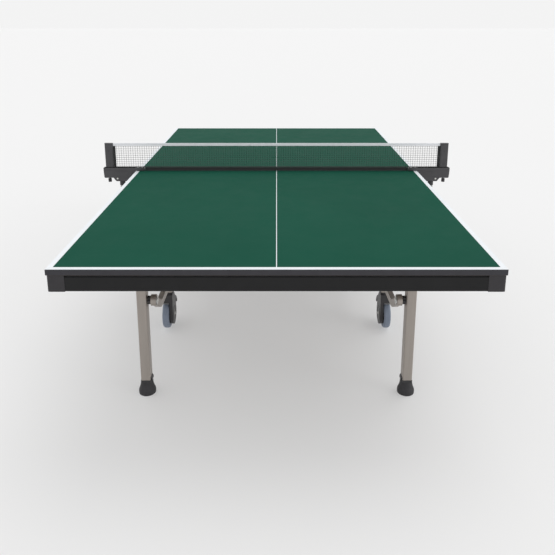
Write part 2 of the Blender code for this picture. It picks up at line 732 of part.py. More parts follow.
def add_carriage(table):
    stay_pivot = (0, *STAY_INNER_AXIS)
    table.pivot("stay_pivot", stay_pivot)
    for side, sign in SIDES:
        stem = (sign * POST_X, POST_Y, POST_BOTTOM)
        axle = (sign * WHEEL_X, WHEEL_Y, WHEEL_RADIUS)
        table.add_at_both_ends("post", post_mesh(sign), "steel_champagne", stem, None, side)
        table.add_at_both_ends("stay", stay_mesh(sign), "steel_champagne", stay_pivot, "stay_pivot", side)
        table.pivot(f"{side}_caster_pivot", stem)
        pivot = f"{side}_caster_pivot"
        table.add_at_both_ends("caster_housing", caster_housing_mesh(sign), "plastic_black", stem, pivot, side)
        table.add_at_both_ends("caster_wheel", caster_wheel_mesh(sign), "tyre_grey_blue", axle, pivot, side)
        table.add_once(f"side_rail_{side}", side_rail_mesh(sign), "steel_champagne")
    table.add_once("cross_tube", cross_tube_mesh(), "steel_champagne")


def add_net(table):
    for side, sign in SIDES:
        table.add_once(f"net_support_{side}", net_support_mesh(sign), "support_steel")
        table.add_once(f"net_bracket_{side}", net_bracket_mesh(sign), "net_metal_black")
        table.add_once(f"net_post_{side}", net_post_mesh(sign), "net_metal_black")
        screw = net_screw_mesh()
        screw.transform(Matrix.Translation((sign * NET_SCREW_X, 0, 0)))
        table.add_once(f"net_screw_{side}", screw, "plastic_black", (sign * NET_SCREW_X, 0, 0.7215))
    table.add_once("net", net_mesh(), "net_cord_black", (0, 0, TABLE_HEIGHT))


clear_scene()
assembly = Assembly("table_tennis_table")
add_half(assembly)
add_legs(assembly)
add_carriage(assembly)
add_net(assembly)
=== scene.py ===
"""Table tennis table on a rollaway carriage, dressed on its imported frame.

Pieces are modelled in the row frame: +X across the table, +Y along it, +Z up, in metres. The
front end (y < 0) is modelled in place and the rear end is the same mesh turned half a turn.
"""

import math

import bmesh
import bpy
from mathutils import Matrix, Vector, noise


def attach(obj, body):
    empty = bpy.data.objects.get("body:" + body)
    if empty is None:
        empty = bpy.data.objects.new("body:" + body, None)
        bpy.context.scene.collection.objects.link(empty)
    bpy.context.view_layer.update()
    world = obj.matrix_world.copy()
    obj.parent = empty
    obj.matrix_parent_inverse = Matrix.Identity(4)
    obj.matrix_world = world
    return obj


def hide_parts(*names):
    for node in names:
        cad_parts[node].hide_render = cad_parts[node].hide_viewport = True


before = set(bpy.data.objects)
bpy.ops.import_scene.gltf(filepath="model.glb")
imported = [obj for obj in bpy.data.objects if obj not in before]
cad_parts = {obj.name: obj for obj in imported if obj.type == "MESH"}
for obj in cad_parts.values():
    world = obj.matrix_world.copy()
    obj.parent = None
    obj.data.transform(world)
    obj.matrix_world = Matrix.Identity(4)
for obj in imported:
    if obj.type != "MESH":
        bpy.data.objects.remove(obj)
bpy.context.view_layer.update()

# ---------------------------------------------------------------- dimensions (metres)
HALF_WIDTH = 0.7625
HALF_LENGTH = 1.370
TOP = 0.760
BOARD_BOTTOM = 0.738
FRAME_TOP = 0.7377
APRON_BOTTOM = 0.680
APRON_X = 0.7595
APRON_Y = -1.367
CORNER = 0.058
LINE_WIDTH = 0.020
CENTRE_LINE = 0.003
FOLD_AXIS = (-0.270, 0.728)
STRINGER_X = 0.600
LEG_X = 0.555
LEG_Y = -0.906
LEG_AXIS = (LEG_Y, 0.700)
LEG_CROSS_Z = 0.580
TUBE_FACE = 0.020
STAY_OUTER = (LEG_Y, 0.430)
STAY_INNER = (-0.310, 0.500)
STAY_KNEES = ((-0.815, 0.366), (-0.600, 0.362))
STAY_WIDTH = 0.030
STAY_WEB_X = 0.496
STAY_RIM_X = 0.518
STAY_WALL = 0.0025
POST_X = 0.550
POST_Y = -0.348
RAIL_Z = 0.290
WHEEL_X = 0.566
WHEEL_RADIUS = 0.0750
AXLE = (-0.316, 0.075)
SUPPORT_X = 0.840
NET_TOP = 0.9125
NET_REACH = 0.8805
BAR_TOP = 0.779
SCREW_X = 0.908
NET_POST_X = 0.9030
TAPE_DEPTH = 0.0150
OTHER = {"left": "right", "right": "left"}
SIGN = {"left": -1, "right": 1}


# ---------------------------------------------------------------- materials
def add_node(tree, kind, **inputs):
    node = tree.nodes.new(kind)
    for name, value in inputs.items():
        node.inputs[name.replace("_", " ")].default_value = value
    return node


def ramp(tree, factor, stops):
    node = tree.nodes.new("ShaderNodeValToRGB")
    node.color_ramp.elements[0].position = stops[0][0]
    node.color_ramp.elements[0].color = (*stops[0][1], 1)
    node.color_ramp.elements[1].position = stops[-1][0]
    node.color_ramp.elements[1].color = (*stops[-1][1], 1)
    for position, colour in stops[1:-1]:
        node.color_ramp.elements.new(position).color = (*colour, 1)
    tree.links.new(factor, node.inputs["Fac"])
    return node


def material(
    name,
    colour,
    spread=0.12,
    roughness=0.45,
    rough_spread=0.08,
    metallic=0.0,
    stretch=(1, 1, 1),
    tone_scale=6.0,
    grain_scale=900.0,
    grain=0.10,
    grain_depth=0.0003,
    coat=0.0,
    sheen=0.0,
    specular=0.5,
):
    """A surface with slow changes of tone, uneven gloss and a fine relief, fixed to the piece."""
    made = bpy.data.materials.new(name)
    made.use_nodes = True
    tree = made.node_tree
    shader = tree.nodes["Principled BSDF"]
    shader.inputs["Metallic"].default_value = metallic
    shader.inputs["Coat Weight"].default_value = coat
    shader.inputs["Coat Roughness"].default_value = 0.25
    shader.inputs["Sheen Weight"].default_value = sheen
    shader.inputs["Specular IOR Level"].default_value = specular
    where = tree.nodes.new("ShaderNodeTexCoord")
    scaled = tree.nodes.new("ShaderNodeMapping")
    scaled.inputs["Scale"].default_value = stretch
    tree.links.new(where.outputs["Object"], scaled.inputs["Vector"])
    tone = add_node(tree, "ShaderNodeTexNoise", Scale=tone_scale, Detail=6.0, Roughness=0.6)
    tree.links.new(scaled.outputs["Vector"], tone.inputs["Vector"])
    dark = [c * (1 - spread) for c in colour]
    light = [min(1.0, c * (1 + spread)) for c in colour]
    tones = ramp(tree, tone.outputs["Fac"], [(0.30, dark), (0.50, colour), (0.70, light)])
    tree.links.new(tones.outputs["Color"], shader.inputs["Base Color"])
    gloss = add_node(tree, "ShaderNodeTexNoise", Scale=tone_scale * 5, Detail=4.0, Roughness=0.65)
    tree.links.new(scaled.outputs["Vector"], gloss.inputs["Vector"])
    levels = tree.nodes.new("ShaderNodeMapRange")
    levels.inputs["From Min"].default_value = 0.3
    levels.inputs["From Max"].default_value = 0.7
    levels.inputs["To Min"].default_value = roughness - rough_spread
    levels.inputs["To Max"].default_value = roughness + rough_spread
    tree.links.new(gloss.outputs["Fac"], levels.inputs["Value"])
    tree.links.new(levels.outputs["Result"], shader.inputs["Roughness"])
    relief = add_node(tree, "ShaderNodeTexNoise", Scale=grain_scale, Detail=3.0, Roughness=0.55)
    tree.links.new(scaled.outputs["Vector"], relief.inputs["Vector"])
    bump = add_node(tree, "ShaderNodeBump", Strength=grain, Distance=grain_depth)
    tree.links.new(relief.outputs["Fac"], bump.inputs["Height"])
    tree.links.new(bump.outputs["Normal"], shader.inputs["Normal"])
    return made


CHAMPAGNE = (0.355, 0.320, 0.290)
MATERIALS = {
    "court": material("court_green_paint", (0.009, 0.072, 0.046), 0.05, 0.50, 0.04, tone_scale=2.2,
                      grain_scale=1400, grain=0.08, specular=0.012),
    "line": material("line_white_paint", (0.74, 0.77, 0.80), 0.03, 0.45, 0.06, tone_scale=9),
    "board": material("board_edge_black", (0.032, 0.031, 0.037), 0.12, 0.50, 0.06, tone_scale=25,
                      grain_scale=1100, grain=0.2, specular=0.3),
    "underside": material("board_underside_brown", (0.150, 0.112, 0.082), 0.09, 0.66, 0.06,
                          stretch=(1, 0.10, 1), tone_scale=70, grain_scale=900, grain=0.15, specular=0.25),
    "profile": material("profile_black_coat", (0.0125, 0.0125, 0.0130), 0.10, 0.42, 0.06,
                        tone_scale=14, grain_scale=1500, grain=0.20, specular=0.18),
    "corner": material("corner_black_plastic", (0.026, 0.024, 0.027), 0.10, 0.46, 0.06, tone_scale=30,
                       grain_scale=1300, grain=0.28, specular=0.35),
    "champagne": material("champagne_brushed_steel", CHAMPAGNE, 0.06, 0.40, 0.08, metallic=0.55,
                          stretch=(1, 1, 0.05), tone_scale=60, grain_scale=1600, grain=0.12),
    "champagne_long": material("champagne_rail_steel", CHAMPAGNE, 0.06, 0.40, 0.08, metallic=0.55,
                               stretch=(0.05, 0.05, 1), tone_scale=60, grain_scale=1600, grain=0.12),
    "rubber": material("foot_black_rubber", (0.022, 0.021, 0.024), 0.16, 0.58, 0.10, tone_scale=35,
                       grain_scale=900, grain=0.35),
    "plastic": material("moulded_black_plastic", (0.024, 0.023, 0.025), 0.14, 0.40, 0.08, tone_scale=40,
                        grain_scale=1200, grain=0.30),
    "tyre": material("tyre_blue_grey_rubber", (0.190, 0.225, 0.290), 0.08, 0.52, 0.08, tone_scale=45,
                     grain_scale=1000, grain=0.25),
    "zinc": material("zinc_plated_steel", (0.62, 0.62, 0.60), 0.08, 0.30, 0.08, metallic=1.0, tone_scale=60,
                     grain_scale=1500, grain=0.08),
    "net_metal": material("net_post_black_coat", (0.055, 0.054, 0.058), 0.12, 0.44, 0.06, metallic=0.1,
                          tone_scale=22, grain_scale=1500, grain=0.25),
    "support": material("support_grey_coat", (0.36, 0.36, 0.35), 0.07, 0.36, 0.07, metallic=0.6,
                        tone_scale=30, grain_scale=1500, grain=0.12),
    "cord": material("net_black_cord", (0.016, 0.017, 0.018), 0.2, 0.80, 0.06, tone_scale=80,
                     grain_scale=2200, grain=0.5, sheen=0.2),
    "tape": material("net_white_tape", (0.76, 0.77, 0.80), 0.04, 0.80, 0.05, tone_scale=40,
                     grain_scale=1800, grain=0.45, sheen=0.2),
}


# ---------------------------------------------------------------- shapes
class Form:
    """Several closed shapes gathered into one mesh."""

    def __init__(self):
        self.mesh = bmesh.new()

    def _bevel(self, verts, width, segments, angle=0.45):
        if width <= 0:
            return
        edges = {e for v in verts for e in v.link_edges if len(e.link_faces) == 2}
        sharp = [e for e in edges if e.calc_face_angle(0) > angle]
        bmesh.ops.bevel(self.mesh, geom=sharp, offset=width, segments=segments, profile=0.5,
                        affect="EDGES", clamp_overlap=True)

    def box(self, low, high, bevel=0.001, segments=2):
        low, high = [min(p) for p in zip(low, high)], [max(p) for p in zip(low, high)]
        size = [b - a for a, b in zip(low, high)]
        middle = [(a + b) / 2 for a, b in zip(low, high)]
        place = Matrix.Translation(middle) @ Matrix.Diagonal((*size, 1))
        made = bmesh.ops.create_cube(self.mesh, size=1, matrix=place)
        self._bevel(made["verts"], bevel, segments)
        return self

    def prism(self, outline, axis, start, stop, bevel=0.0, segments=2):
        """A flat outline of the other two coordinates, in XYZ order, run along an axis."""
        rings = []
        for level in (start, stop):
            points = []
            for u, v in outline:
                point = {"X": (level, u, v), "Y": (u, level, v), "Z": (u, v, level)}[axis]
                points.append(self.mesh.verts.new(point))
            rings.append(points)
        first, last = rings
        count = len(outline)
        self.mesh.faces.new(first)
        self.mesh.faces.new(last[::-1])
        for i in range(count):
            j = (i + 1) % count
            self.mesh.faces.new((first[j], first[i], last[i], last[j]))
        self._bevel(first + last, bevel, segments)
        return self

    def hollow(self, outer, inner, axis, start, stop):
        """A tube whose two outlines have equal numbers of points."""
        rings = []
        for loop, level in ((outer, start), (outer, stop), (inner, stop), (inner, start)):
            points = []
            for u, v in loop:
                point = {"X": (level, u, v), "Y": (u, level, v), "Z": (u, v, level)}[axis]
                points.append(self.mesh.verts.new(point))
            rings.append(points)
        count = len(outer)
        for a, b in zip(rings, rings[1:] + rings[:1]):
            for i in range(count):
                j = (i + 1) % count
                self.mesh.faces.new((a[i], a[j], b[j], b[i]))
        return self

    def lathe(self, profile, place, steps=32, closed=False):
        """A profile of (radius, height) points turned about the local Z of a placing matrix."""
        rings = []
        for radius, height in profile:
            if radius < 1e-6:
                rings.append([self.mesh.verts.new(place @ Vector((0, 0, height)))])
                continue
            ring = []
            for i in range(steps):
                angle = 2 * math.pi * i / steps
                local = Vector((radius * math.cos(angle), radius * math.sin(angle), height))
                ring.append(self.mesh.verts.new(place @ local))
            rings.append(ring)
        pairs = list(zip(rings, rings[1:] + rings[:1])) if closed else list(zip(rings, rings[1:]))
        for a, b in pairs:
            for i in range(steps):
                j = (i + 1) % steps
                if len(a) == 1 and len(b) == 1:
                    continue
                if len(a) == 1:
                    self.mesh.faces.new((a[0], b[j], b[i]))
                elif len(b) == 1:
                    self.mesh.faces.new((a[i], a[j], b[0]))
                else:
                    self.mesh.faces.new((a[i], a[j], b[j], b[i]))
        return self

    def pin(self, axis, radius, x_from, x_to, steps=24, bevel=0.0006):
        """A round pin along X on the line (y, z) = axis, with its ends' edges taken off."""
        low, high = sorted((x_from, x_to))
        profile = [(0, 0), (radius - bevel, 0), (radius, bevel)]
        profile += [(radius, high - low - bevel), (radius - bevel, high - low), (0, high - low)]
        return self.lathe(profile, along_x(low, axis), steps)

    def tube(self, points, radius, sides=16):
        """A solid round bar along a line of points."""
        points = [Vector(p) for p in points]
        up = Vector((0, 1, 0))
        rings = []
        for i, point in enumerate(points):
            ahead = points[min(i + 1, len(points) - 1)] - points[max(i - 1, 0)]
            ahead.normalize()
            if abs(ahead.dot(up)) > 0.95:
                up = Vector((0, 0, 1))
            side = ahead.cross(up).normalized()
            over = side.cross(ahead)
            ring = []
            for k in range(sides):
                angle = 2 * math.pi * k / sides
                offset = side * math.cos(angle) + over * math.sin(angle)
                ring.append(self.mesh.verts.new(point + offset * radius))
            rings.append(ring)
        for a, b in zip(rings, rings[1:]):
            for i in range(sides):
                j = (i + 1) % sides
                self.mesh.faces.new((a[i], a[j], b[j], b[i]))
        self.mesh.faces.new(rings[0][::-1])
        self.mesh.faces.new(rings[-1])
        return self

    def bolt(self, place, radius, height=0.003, recess=True):
        """A domed screw head, seated on the local XY plane, with a round recess."""
        dome = [(0, -0.001), (radius, -0.001), (radius, height * 0.35), (radius * 0.86, height * 0.75)]
        dome += [(radius * 0.55, height)]
        if recess:
            dome += [(radius * 0.45, height), (radius * 0.42, height * 0.3), (0, height * 0.3)]
        else:
            dome += [(0, height * 1.04)]
        return self.lathe(dome, place, 18)

    def finished(self, name, smooth=32):
        mesh = bpy.data.meshes.new(name)
        bmesh.ops.recalc_face_normals(self.mesh, faces=self.mesh.faces)
        self.mesh.to_mesh(mesh)
        self.mesh.free()
        mesh.shade_smooth()
        mesh.set_sharp_from_angle(angle=math.radians(smooth))
        return mesh


def along_x(x, axis, direction=1):
    turn = Matrix.Rotation(direction * math.pi / 2, 4, "Y")
    return Matrix.Translation((x, *axis)) @ turn


def along_y(point, direction=1):
    return Matrix.Translation(point) @ Matrix.Rotation(-direction * math.pi / 2, 4, "X")


def along_z(point, direction=1):
    turn = Matrix.Identity(4) if direction > 0 else Matrix.Rotation(math.pi, 4, "X")
    return Matrix.Translation(point) @ turn


def arc(centre, radius, start, stop, steps):
    points = []
    for i in range(steps + 1):
        angle = math.radians(start + (stop - start) * i / steps)
        points.append((centre[0] + radius * math.cos(angle), centre[1] + radius * math.sin(angle)))
    return points


def rounded(centre, width, height, radius, steps=5):
    u, v = width / 2 - radius, height / 2 - radius
    points = []
    for cu, cv, start in ((u, v, 0), (-u, v, 90), (-u, -v, 180), (u, -v, 270)):
        points += arc((centre[0] + cu, centre[1] + cv), radius, start, start + 90, steps)
    return points


def tube_loops(centre, width, height, radius=0.004, wall=0.002):
    outer = rounded(centre, width, height, radius)
    inner = rounded(centre, width - 2 * wall, height - 2 * wall, max(0.0008, radius - wall))
    return outer, inner


def bend(start, corner, stop, reach, steps=10):
    corner = Vector(corner)
    first = corner + (Vector(start) - corner).normalized() * reach
    last = corner + (Vector(stop) - corner).normalized() * reach
    points = []
    for i in range(steps + 1):
        t = i / steps
        points.append(tuple(first * (1 - t) ** 2 + corner * 2 * t * (1 - t) + last * t**2))
    return points


# ---------------------------------------------------------------- placing pieces
def put(name, mesh, look, body, nodes=(), turn=0.0):
    obj = bpy.data.objects.new(name, mesh)
    bpy.context.scene.collection.objects.link(obj)
    obj.rotation_euler = (0, 0, turn)
    if not mesh.materials:
        mesh.materials.append(MATERIALS[look])
    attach(obj, body)
    if nodes:
        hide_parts(*nodes)
    return obj


def put_ends(label, form, look, body, node=None):
    """One piece at each end of the table."""
    mesh = form.finished(label)
    for end, turn in (("front", 0.0), ("rear", math.pi)):
        nodes = [f"{node}_{end}"] if node else []
        put(f"{label}_{end}", mesh, look, body.format(end=end), nodes, turn)


def put_corners(label, build, look, body, node=None):
    """One piece at each of the four corners. build(form, sign) models it at the front end."""
    for side, sign in SIGN.items():
        form = Form()
        build(form, sign)
        mesh = form.finished(f"{label}_{side}")
        for end, turn in (("front", 0.0), ("rear", math.pi)):
            where = side if end == "front" else OTHER[side]
            nodes = [f"{node}_{end}_{where}"] if node else []
            put(f"{label}_{end}_{where}", mesh, look, body.format(end=end, side=where), nodes, turn)


def put_sides(label, build, look, body, node=None):
    """One piece at each side of the net."""
    for side, sign in SIGN.items():
        form = Form()
        build(form, sign)
        nodes = [f"{node}_{side}"] if node else []
        put(f"{label}_{side}", form.finished(f"{label}_{side}"), look, body.format(side=side), nodes)


# ---------------------------------------------------------------- playing surface and frame
def dress_boards():
    low, high = (-HALF_WIDTH, -HALF_LENGTH, BOARD_BOTTOM + 0.0008), (HALF_WIDTH, -0.002, TOP - 0.0003)
    board = Form().box(low, high, 0.0013, 3)
    put_ends("board", board, "board", "half_{end}", "panel")
    low = (-HALF_WIDTH + 0.002, -HALF_LENGTH + 0.002, BOARD_BOTTOM)
    high = (HALF_WIDTH - 0.002, -0.004, BOARD_BOTTOM + 0.0012)
    face = Form().box(low, high, 0.0003, 1)
    put_ends("board_underside", face, "underside", "half_{end}")
    low = (-HALF_WIDTH + 0.0012, -HALF_LENGTH + 0.0012, TOP - 0.001)
    court = Form().box(low, (HALF_WIDTH - 0.0012, -0.0032, TOP), 0.0002, 1)
    put_ends("court", court, "court", "half_{end}")
    edge_x, edge_y = HALF_WIDTH - 0.0008, -HALF_LENGTH + 0.0008
    inner_x, inner_y = HALF_WIDTH - LINE_WIDTH, -HALF_LENGTH + LINE_WIDTH
    border = [(-edge_x, edge_y), (edge_x, edge_y), (edge_x, -0.0026), (inner_x, -0.0026), (inner_x, inner_y)]
    border += [(-inner_x, inner_y), (-inner_x, -0.0026), (-edge_x, -0.0026)]
    paint_low, paint_high = TOP - 0.0006, TOP + 0.00022
    lines = Form().prism(border, "Z", paint_low, paint_high, 0.0001, 1)
    half = CENTRE_LINE / 2
    lines.box((-half, inner_y + 0.0001, paint_low), (half, -0.0032, paint_high), 0.0001, 1)
    put_ends("court_lines", lines, "line", "half_{end}")


def apron_outline():
    """The apron's section: outwards distance from the frame's inner face, and height."""
    depth, height = 0.028, FRAME_TOP - APRON_BOTTOM
    ledge = height - 0.0062
    outline = arc((0.0045, 0.0045), 0.0045, 270, 180, 6)
    outline += [(0, 0.0120), (0.0004, 0.0124), (0.0004, 0.0131), (0, 0.0135)]
    outline += [(0, ledge - 0.0020)] + arc((0.0018, ledge - 0.0018), 0.0018, 180, 90, 4)
    outline += [(0.0046, ledge), (0.0050, ledge + 0.0006), (0.0050, height), (depth, height), (depth, 0)]
    return outline


def dress_aprons():
    outline = apron_outline()
    reach = APRON_X - CORNER - 0.0003
    end = Form().prism([(APRON_Y + u, APRON_BOTTOM + v) for u, v in outline], "X", -reach, reach)
    put_ends("end_apron", end, "profile", "half_{end}", "end_apron")
    # A lighter strip laid on the ledge of the end apron's top groove, between the corner blocks: a painted
    # highlight.
    low, high = (-reach, APRON_Y + 0.0040, FRAME_TOP - 0.0058), (reach, APRON_Y + 0.0052, FRAME_TOP - 0.0050)
    painted_highlight = Form().box(low, high, 0.0002, 1)
    put_ends("end_apron_painted_highlight", painted_highlight, "net_metal", "half_{end}")

    def side_apron(form, sign):
        placed = [(sign * (APRON_X - u), APRON_BOTTOM + v) for u, v in outline]
        form.prism(placed, "Y", APRON_Y + CORNER + 0.0003, -0.005)

    def corner(form, sign):
        x, y, r = APRON_X + 0.0008, APRON_Y - 0.0008, 0.0085
        inner_x, inner_y = APRON_X - CORNER, APRON_Y + CORNER
        shape = [(inner_x, y)] + arc((x - r, y + r), r, 270, 360, 8) + [(x, inner_y), (inner_x, inner_y)]
        shape = [(sign * u, v) for u, v in shape]
        form.prism(shape, "Z", APRON_BOTTOM - 0.0002, FRAME_TOP, 0.0022, 3)
        rib_x = sign * (APRON_X - CORNER / 2)
        for inset in (0.014, 0.044):
            form.bolt(along_z((rib_x, APRON_Y + inset, APRON_BOTTOM), -1), 0.0050, 0.0022)

    def plate(form, sign):
        low = (sign * (APRON_X - 0.088), APRON_Y + 0.010, APRON_BOTTOM - 0.0016)
        high = (sign * (APRON_X - 0.064), APRON_Y + 0.024, APRON_BOTTOM + 0.0006)
        form.box(low, high, 0.0006)
        middle = (sign * (APRON_X - 0.076), APRON_Y + 0.017, APRON_BOTTOM - 0.0016)
        form.bolt(along_z(middle, -1), 0.0038, 0.0018)

    put_corners("side_apron", side_apron, "profile", "half_{end}", "side_apron")
    put_corners("corner_block", corner, "corner", "half_{end}", "corner_block")
    put_corners("corner_plate", plate, "zinc", "half_{end}")


def dress_rails():
    y = -0.0053 - 0.014
    rail = Form().hollow(*tube_loops((y, FRAME_TOP - 0.0125), 0.028, 0.025, 0.003), "X", -0.7312, 0.7312)
    put_ends("inner_rail", rail, "profile", "half_{end}", "inner_rail")

    def stringer(form, sign):
        x = sign * STRINGER_X
        loops = tube_loops((x, FRAME_TOP - 0.020), 0.030, 0.040, 0.004)
        form.hollow(*loops, "Y", APRON_Y + 0.0283, -0.0336)
        ear_y, ear_z = LEG_AXIS
        ear = arc((ear_y, ear_z), 0.022, 180, 360, 16)
        ear += [(ear_y + 0.034, FRAME_TOP - 0.004), (ear_y - 0.034, FRAME_TOP - 0.004)]
        form.prism(ear, "X", sign * 0.5775, sign * 0.5865, 0.0012, 2)

    def fixings(form, sign):
        for y in (-1.28, -1.05, -0.74, -0.50, -0.12):
            form.bolt(along_z((sign * STRINGER_X, y, FRAME_TOP - 0.040), -1), 0.0058, 0.0026)
        form.pin(LEG_AXIS, 0.0078, sign * 0.5850, sign * 0.5875)
        outer_face = sign * (STRINGER_X + 0.0150)
        form.bolt(along_x(outer_face, LEG_AXIS, sign), 0.0110, 0.0060, False)
        form.bolt(along_x(outer_face, FOLD_AXIS, sign), 0.0095, 0.0060, False)

    def angle(form, sign):
        for y in (APRON_Y + 0.0285, -0.0340):
            inwards = 1 if y < -0.5 else -1
            form.box((sign * 0.6155, y, 0.7005), (sign * 0.6175, y + inwards * 0.036, 0.7370), 0.0005, 1)
            form.box((sign * 0.6155, y, 0.7005), (sign * 0.6500, y + inwards * 0.0020, 0.7370), 0.0005, 1)
            for z in (0.709, 0.728):
                form.bolt(along_x(sign * 0.6175, (y + inwards * 0.020, z), sign), 0.0042, 0.0022)

    put_corners("stringer", stringer, "profile", "half_{end}", "stringer")
    put_corners("stringer_fixings", fixings, "zinc", "half_{end}")
    put_corners("stringer_angles", angle, "profile", "half_{end}")


# ---------------------------------------------------------------- legs and feet
def dress_legs():
    inner_face, outer_face = LEG_X - TUBE_FACE, LEG_X + TUBE_FACE

    def leg(form, sign):
        form.hollow(*tube_loops((sign * LEG_X, LEG_Y), 0.040, 0.050, 0.0045), "Z", 0.062, 0.7185)
        form.pin(STAY_OUTER, 0.0145, sign * (inner_face + 0.001), sign * (inner_face - 0.0012))

    def cap(form, sign):
        form.prism(rounded((sign * LEG_X, LEG_Y), 0.0396, 0.0496, 0.0045), "Z", 0.7150, 0.7222, 0.0014, 3)

    def collar(form, sign):
        form.prism(rounded((sign * LEG_X, LEG_Y), 0.0420, 0.0520, 0.0050), "Z", 0.0600, 0.0700, 0.0010, 2)
        x = sign * (inner_face - 0.0010)
        spur = [(sign * inner_face, 0.0650), (x - sign * 0.0050, 0.0650), (x - sign * 0.0045, 0.0720)]
        spur += [(x - sign * 0.0010, 0.0790), (sign * inner_face, 0.0790)]
        form.prism(spur, "Y", LEG_Y - 0.016, LEG_Y + 0.016, 0.0008, 2)

    def pivot(form, sign):
        form.pin(LEG_AXIS, 0.0078, sign * outer_face, sign * (outer_face + 0.0090))
        form.pin(LEG_AXIS, 0.0125, sign * outer_face, sign * (outer_face + 0.0016))
        form.bolt(along_x(sign * inner_face, LEG_AXIS, -sign), 0.0105, 0.0055, False)
        form.pin(LEG_AXIS, 0.0135, sign * inner_face, sign * (inner_face - 0.0014))
        form.bolt(along_x(sign * outer_face, STAY_OUTER, sign), 0.0085, 0.0036)
        for z in (LEG_CROSS_Z - 0.009, LEG_CROSS_Z + 0.009):
            form.bolt(along_x(sign * outer_face, (LEG_Y, z), sign), 0.0062, 0.0028)

    def foot(form, sign):
        place = Matrix.Translation((sign * LEG_X, LEG_Y, 0))
        bell = [(0, 0.0612), (0.0225, 0.0612), (0.0245, 0.0606), (0.0258, 0.0590), (0.0262, 0.0560)]
        bell += [(0.0262, 0.0500), (0.0268, 0.0460), (0.0280, 0.0400), (0.0298, 0.0335), (0.0320, 0.0275)]
        bell += [(0.0343, 0.0225), (0.0357, 0.0180), (0.0362, 0.0140), (0.0362, 0.0085), (0.0354, 0.0060)]
        bell += [(0.0358, 0.0045), (0.0358, 0.0025), (0.0345, 0.0008), (0.0325, 0.0), (0, 0.0)]
        form.lathe(bell, place, 56)

    def stem(form, sign):
        place = Matrix.Translation((sign * LEG_X, LEG_Y, 0))
        thread = [(0, 0.0995), (0.0068, 0.0995)]
        for k in range(24):
            z = 0.0985 - k * 0.0015
            thread += [(0.0078, z), (0.0068, z - 0.00075)]
        thread += [(0.0068, 0.0600), (0, 0.0600)]
        form.lathe(thread, place, 20)

    put_corners("leg", leg, "champagne", "legs_{end}", "leg")
    put_corners("leg_cap", cap, "plastic", "legs_{end}")
    put_corners("leg_collar", collar, "plastic", "legs_{end}")
    put_corners("leg_pivot", pivot, "zinc", "legs_{end}")
    put_corners("foot", foot, "rubber", "foot_{end}_{side}", "foot")
    put_corners("foot_screw", stem, "zinc", "foot_{end}_{side}")
    middle = (LEG_Y, LEG_CROSS_Z)
    cross = Form().hollow(*tube_loops(middle, 0.025, 0.040, 0.0035), "X", -0.5347, 0.5347)
    for sign in (-1, 1):
        cross.prism(rounded(middle, 0.034, 0.049, 0.004), "X", sign * 0.5318, sign * 0.5348, 0.0008, 2)
    put_ends("leg_cross_tube", cross, "champagne_long", "legs_{end}", "leg_cross_tube")


# ---------------------------------------------------------------- stays and lock knobs
def strip(points, width):
    left, right = [], []
    for i, point in enumerate(points):
        here = Vector(point)
        before = (here - Vector(points[i - 1])).normalized() if i else None
        after = (Vector(points[i + 1]) - here).normalized() if i + 1 < len(points) else None
        before, after = before or after, after or before
        along = (before + after).normalized()
        normal = Vector((-along.y, along.x))
        reach = width / 2 / max(0.3, abs(normal.dot(Vector((-before.y, before.x)))))
        left.append(tuple(here + normal * reach))
        right.append(tuple(here - normal * reach))
    return left + right[::-1]


def eye(form, axis, bore, radius, x_from, x_to, steps=40):
    low, high = sorted((x_from, x_to))
    depth, r = high - low, 0.0006
    ring = [(bore + r, 0), (bore, r), (bore, depth - r), (bore + r, depth), (radius - r, depth)]
    ring += [(radius, depth - r), (radius, r), (radius - r, 0)]
    form.lathe(ring, along_x(low, axis), steps, closed=True)


def wall_band(axis, radius, towards, half_mouth):
    """A round wall about an eye, left open where the bar's channel runs into it."""
    heading = math.degrees(math.atan2(towards[1] - axis[1], towards[0] - axis[0]))
    start, stop = heading + half_mouth, heading + 360 - half_mouth
    return arc(axis, radius, start, stop, 40) + arc(axis, radius - STAY_WALL, stop, start, 40)


